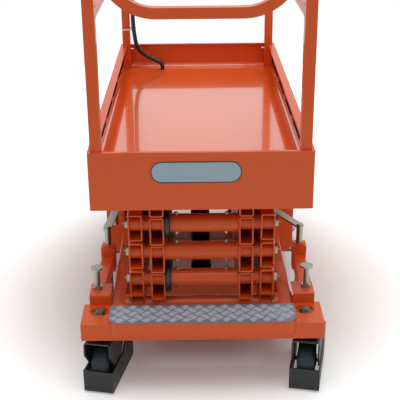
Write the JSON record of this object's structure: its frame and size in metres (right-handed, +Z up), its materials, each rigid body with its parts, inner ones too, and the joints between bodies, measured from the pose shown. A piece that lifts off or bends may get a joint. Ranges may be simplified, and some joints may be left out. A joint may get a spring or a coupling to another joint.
{
  "type": "scissor lift",
  "caption": "Push-around scissor lift: guarded work platform on a stack of crossed arms, an entry step at the front, swing-out outriggers and caster wheels.",
  "frame": {"origin": "centre of the bounding box, on the floor the wheels stand on", "axes": "+X to the right seen from the entry step, +Y from the entry step to the rear, +Z up"},
  "size_m": [0.7449, 1.36, 1.71],
  "materials": {
    "orange_paint": "gloss",
    "zinc_steel": "satin",
    "chequer_plate": "satin",
    "black_steel": "satin",
    "tyre_rubber": "matte",
    "hose_rubber": "satin",
    "chromed_rod": "polished",
    "black_paint": "satin",
    "box_plastic": "matte"
  },
  "bodies": {
    "base": {"front_beam": "orange_paint", "stem_nuts": "zinc_steel", "rear_beam": "orange_paint", "side_rails": "orange_paint", "cross_members": "orange_paint", "step_box": "orange_paint", "tread_plate": "chequer_plate", "base_pins": "zinc_steel", "caster_plates": "black_steel", "rear_forks": "black_steel", "outrigger_brackets": "orange_paint", "outrigger_pins": "zinc_steel", "side_boxes": "orange_paint", "power_blocks": "black_paint"},
    "outer_stage_1": {"outer_arms_1": "orange_paint"},
    "inner_stage_1": {"inner_arms_1": "orange_paint", "pivot_pins_1": "zinc_steel", "lower_rollers": "zinc_steel", "hose_loop_1": "hose_rubber"},
    "outer_stage_2": {"outer_arms_2": "orange_paint"},
    "inner_stage_2": {"inner_arms_2": "orange_paint", "pivot_pins_2": "zinc_steel"},
    "outer_stage_3": {"outer_arms_3": "orange_paint"},
    "inner_stage_3": {"inner_arms_3": "orange_paint", "pivot_pins_3": "zinc_steel", "hose_loop_3": "hose_rubber"},
    "outer_stage_4": {"outer_arms_4": "orange_paint", "upper_rollers": "zinc_steel"},
    "inner_stage_4": {"inner_arms_4": "orange_paint", "pivot_pins_4": "zinc_steel"},
    "platform": {"deck_floor": "orange_paint", "deck_skirt": "orange_paint", "deck_frame": "orange_paint", "guardrail": "orange_paint", "gate_hinges": "orange_paint", "control_box": "box_plastic", "control_cable": "hose_rubber"},
    "gate": {"gate": "orange_paint"},
    "cylinder_barrel": {"cylinder_barrel": "black_paint"},
    "cylinder_rod": {"cylinder_rod": "chromed_rod"},
    "caster_left": {"caster_fork_left": "black_steel", "caster_guard_left": "black_steel"},
    "wheel_front_left": {"wheel_front_left": "tyre_rubber"},
    "wheel_rear_left": {"wheel_rear_left": "tyre_rubber"},
    "caster_right": {"caster_fork_right": "black_steel", "caster_guard_right": "black_steel"},
    "wheel_front_right": {"wheel_front_right": "tyre_rubber"},
    "wheel_rear_right": {"wheel_rear_right": "tyre_rubber"},
    "outrigger_front_left": {"outrigger_arm_front_left": "orange_paint"},
    "jack_front_left": {"jack_front_left": "zinc_steel"},
    "outrigger_rear_left": {"outrigger_arm_rear_left": "orange_paint"},
    "jack_rear_left": {"jack_rear_left": "zinc_steel"},
    "outrigger_front_right": {"outrigger_arm_front_right": "orange_paint"},
    "jack_front_right": {"jack_front_right": "zinc_steel"},
    "outrigger_rear_right": {"outrigger_arm_rear_right": "orange_paint"},
    "jack_rear_right": {"jack_rear_right": "zinc_steel"}
  },
  "joints": [
    {"name": "lift", "type": "hinge", "parent": "base", "child": "outer_stage_1", "pos_m": [0, -0.529, 0.21], "axis": [1, 0, 0], "range_deg": [0, 50]},
    {"name": "stage_1_cross", "type": "hinge", "parent": "outer_stage_1", "child": "inner_stage_1", "pos_m": [0, 0.02435, 0.25275], "axis": [1, 0, 0], "range_deg": [-100, 0]},
    {"name": "stage_2_outer", "type": "hinge", "parent": "inner_stage_1", "child": "outer_stage_2", "pos_m": [0, -0.529, 0.2955], "axis": [1, 0, 0], "range_deg": [0, 100]},
    {"name": "stage_2_cross", "type": "hinge", "parent": "outer_stage_2", "child": "inner_stage_2", "pos_m": [0, 0.02435, 0.33826], "axis": [1, 0, 0], "range_deg": [-100, 0]},
    {"name": "stage_3_outer", "type": "hinge", "parent": "inner_stage_2", "child": "outer_stage_3", "pos_m": [0, -0.529, 0.38101], "axis": [1, 0, 0], "range_deg": [0, 100]},
    {"name": "stage_3_cross", "type": "hinge", "parent": "outer_stage_3", "child": "inner_stage_3", "pos_m": [0, 0.02435, 0.42376], "axis": [1, 0, 0], "range_deg": [-100, 0]},
    {"name": "stage_4_outer", "type": "hinge", "parent": "inner_stage_3", "child": "outer_stage_4", "pos_m": [0, -0.529, 0.46651], "axis": [1, 0, 0], "range_deg": [0, 100]},
    {"name": "stage_4_cross", "type": "hinge", "parent": "outer_stage_4", "child": "inner_stage_4", "pos_m": [0, 0.02435, 0.50926], "axis": [1, 0, 0], "range_deg": [-100, 0]},
    {"name": "platform_level", "type": "hinge", "parent": "inner_stage_4", "child": "platform", "pos_m": [0, -0.529, 0.55202], "axis": [1, 0, 0], "range_deg": [0, 50]},
    {"name": "cylinder_tilt", "type": "hinge", "parent": "base", "child": "cylinder_barrel", "pos_m": [0, -0.319, 0.195], "axis": [1, 0, 0], "range_deg": [0, 56.03]},
    {"name": "cylinder_stroke", "type": "slide", "parent": "cylinder_barrel", "child": "cylinder_rod", "axis": [0, 0.9749, 0.2226], "range_m": [0, 0.3524]},
    {"name": "gate_swing", "type": "hinge", "parent": "platform", "child": "gate", "pos_m": [-0.25975, -0.558, 1.3], "axis": [0, 0, 1], "range_deg": [0, 90]},
    {"name": "caster_swivel_left", "type": "hinge", "parent": "base", "child": "caster_left", "pos_m": [-0.291, -0.59, 0.164], "axis": [0, 0, 1], "continuous": true},
    {"name": "wheel_roll_front_left", "type": "hinge", "parent": "caster_left", "child": "wheel_front_left", "pos_m": [-0.28093, -0.60032, 0.0625], "axis": [0.9781, -0.2079, 0], "continuous": true},
    {"name": "wheel_roll_rear_left", "type": "hinge", "parent": "base", "child": "wheel_rear_left", "pos_m": [-0.291, 0.6175, 0.0625], "axis": [1, 0, 0], "continuous": true},
    {"name": "caster_swivel_right", "type": "hinge", "parent": "base", "child": "caster_right", "pos_m": [0.291, -0.59, 0.164], "axis": [0, 0, 1], "continuous": true},
    {"name": "wheel_roll_front_right", "type": "hinge", "parent": "caster_right", "child": "wheel_front_right", "pos_m": [0.30107, -0.60032, 0.0625], "axis": [0.9781, -0.2079, 0], "continuous": true},
    {"name": "wheel_roll_rear_right", "type": "hinge", "parent": "base", "child": "wheel_rear_right", "pos_m": [0.291, 0.6175, 0.0625], "axis": [1, 0, 0], "continuous": true},
    {"name": "outrigger_swing_front_left", "type": "hinge", "parent": "base", "child": "outrigger_front_left", "pos_m": [-0.302, -0.509, 0.228], "axis": [0, 0, 1], "range_deg": [0, 100]},
    {"name": "jack_screw_front_left", "type": "slide", "parent": "outrigger_front_left", "child": "jack_front_left", "axis": [0, 0, -1], "range_m": [0, 0.05]},
    {"name": "outrigger_swing_rear_left", "type": "hinge", "parent": "base", "child": "outrigger_rear_left", "pos_m": [-0.302, 0.581, 0.228], "axis": [0, 0, -1], "range_deg": [0, 100]},
    {"name": "jack_screw_rear_left", "type": "slide", "parent": "outrigger_rear_left", "child": "jack_rear_left", "axis": [0, 0, -1], "range_m": [0, 0.05]},
    {"name": "outrigger_swing_front_right", "type": "hinge", "parent": "base", "child": "outrigger_front_right", "pos_m": [0.302, -0.509, 0.228], "axis": [0, 0, -1], "range_deg": [0, 100]},
    {"name": "jack_screw_front_right", "type": "slide", "parent": "outrigger_front_right", "child": "jack_front_right", "axis": [0, 0, -1], "range_m": [0, 0.05]},
    {"name": "outrigger_swing_rear_right", "type": "hinge", "parent": "base", "child": "outrigger_rear_right", "pos_m": [0.302, 0.581, 0.228], "axis": [0, 0, 1], "range_deg": [0, 100]},
    {"name": "jack_screw_rear_right", "type": "slide", "parent": "outrigger_rear_right", "child": "jack_rear_right", "axis": [0, 0, -1], "range_m": [0, 0.05]}
  ],
  "couplings": [
    {"joint": "stage_1_cross", "follows": "lift", "ratio": -2},
    {"joint": "stage_2_outer", "follows": "lift", "ratio": 2},
    {"joint": "stage_2_cross", "follows": "lift", "ratio": -2},
    {"joint": "stage_3_outer", "follows": "lift", "ratio": 2},
    {"joint": "stage_3_cross", "follows": "lift", "ratio": -2},
    {"joint": "stage_4_outer", "follows": "lift", "ratio": 2},
    {"joint": "stage_4_cross", "follows": "lift", "ratio": -2},
    {"joint": "platform_level", "follows": "lift", "ratio": 1},
    {"joint": "cylinder_tilt", "follows": "lift", "ratio": 1.1201},
    {"joint": "cylinder_stroke", "follows": "lift", "m_per_rad": 0.40326}
  ]
}
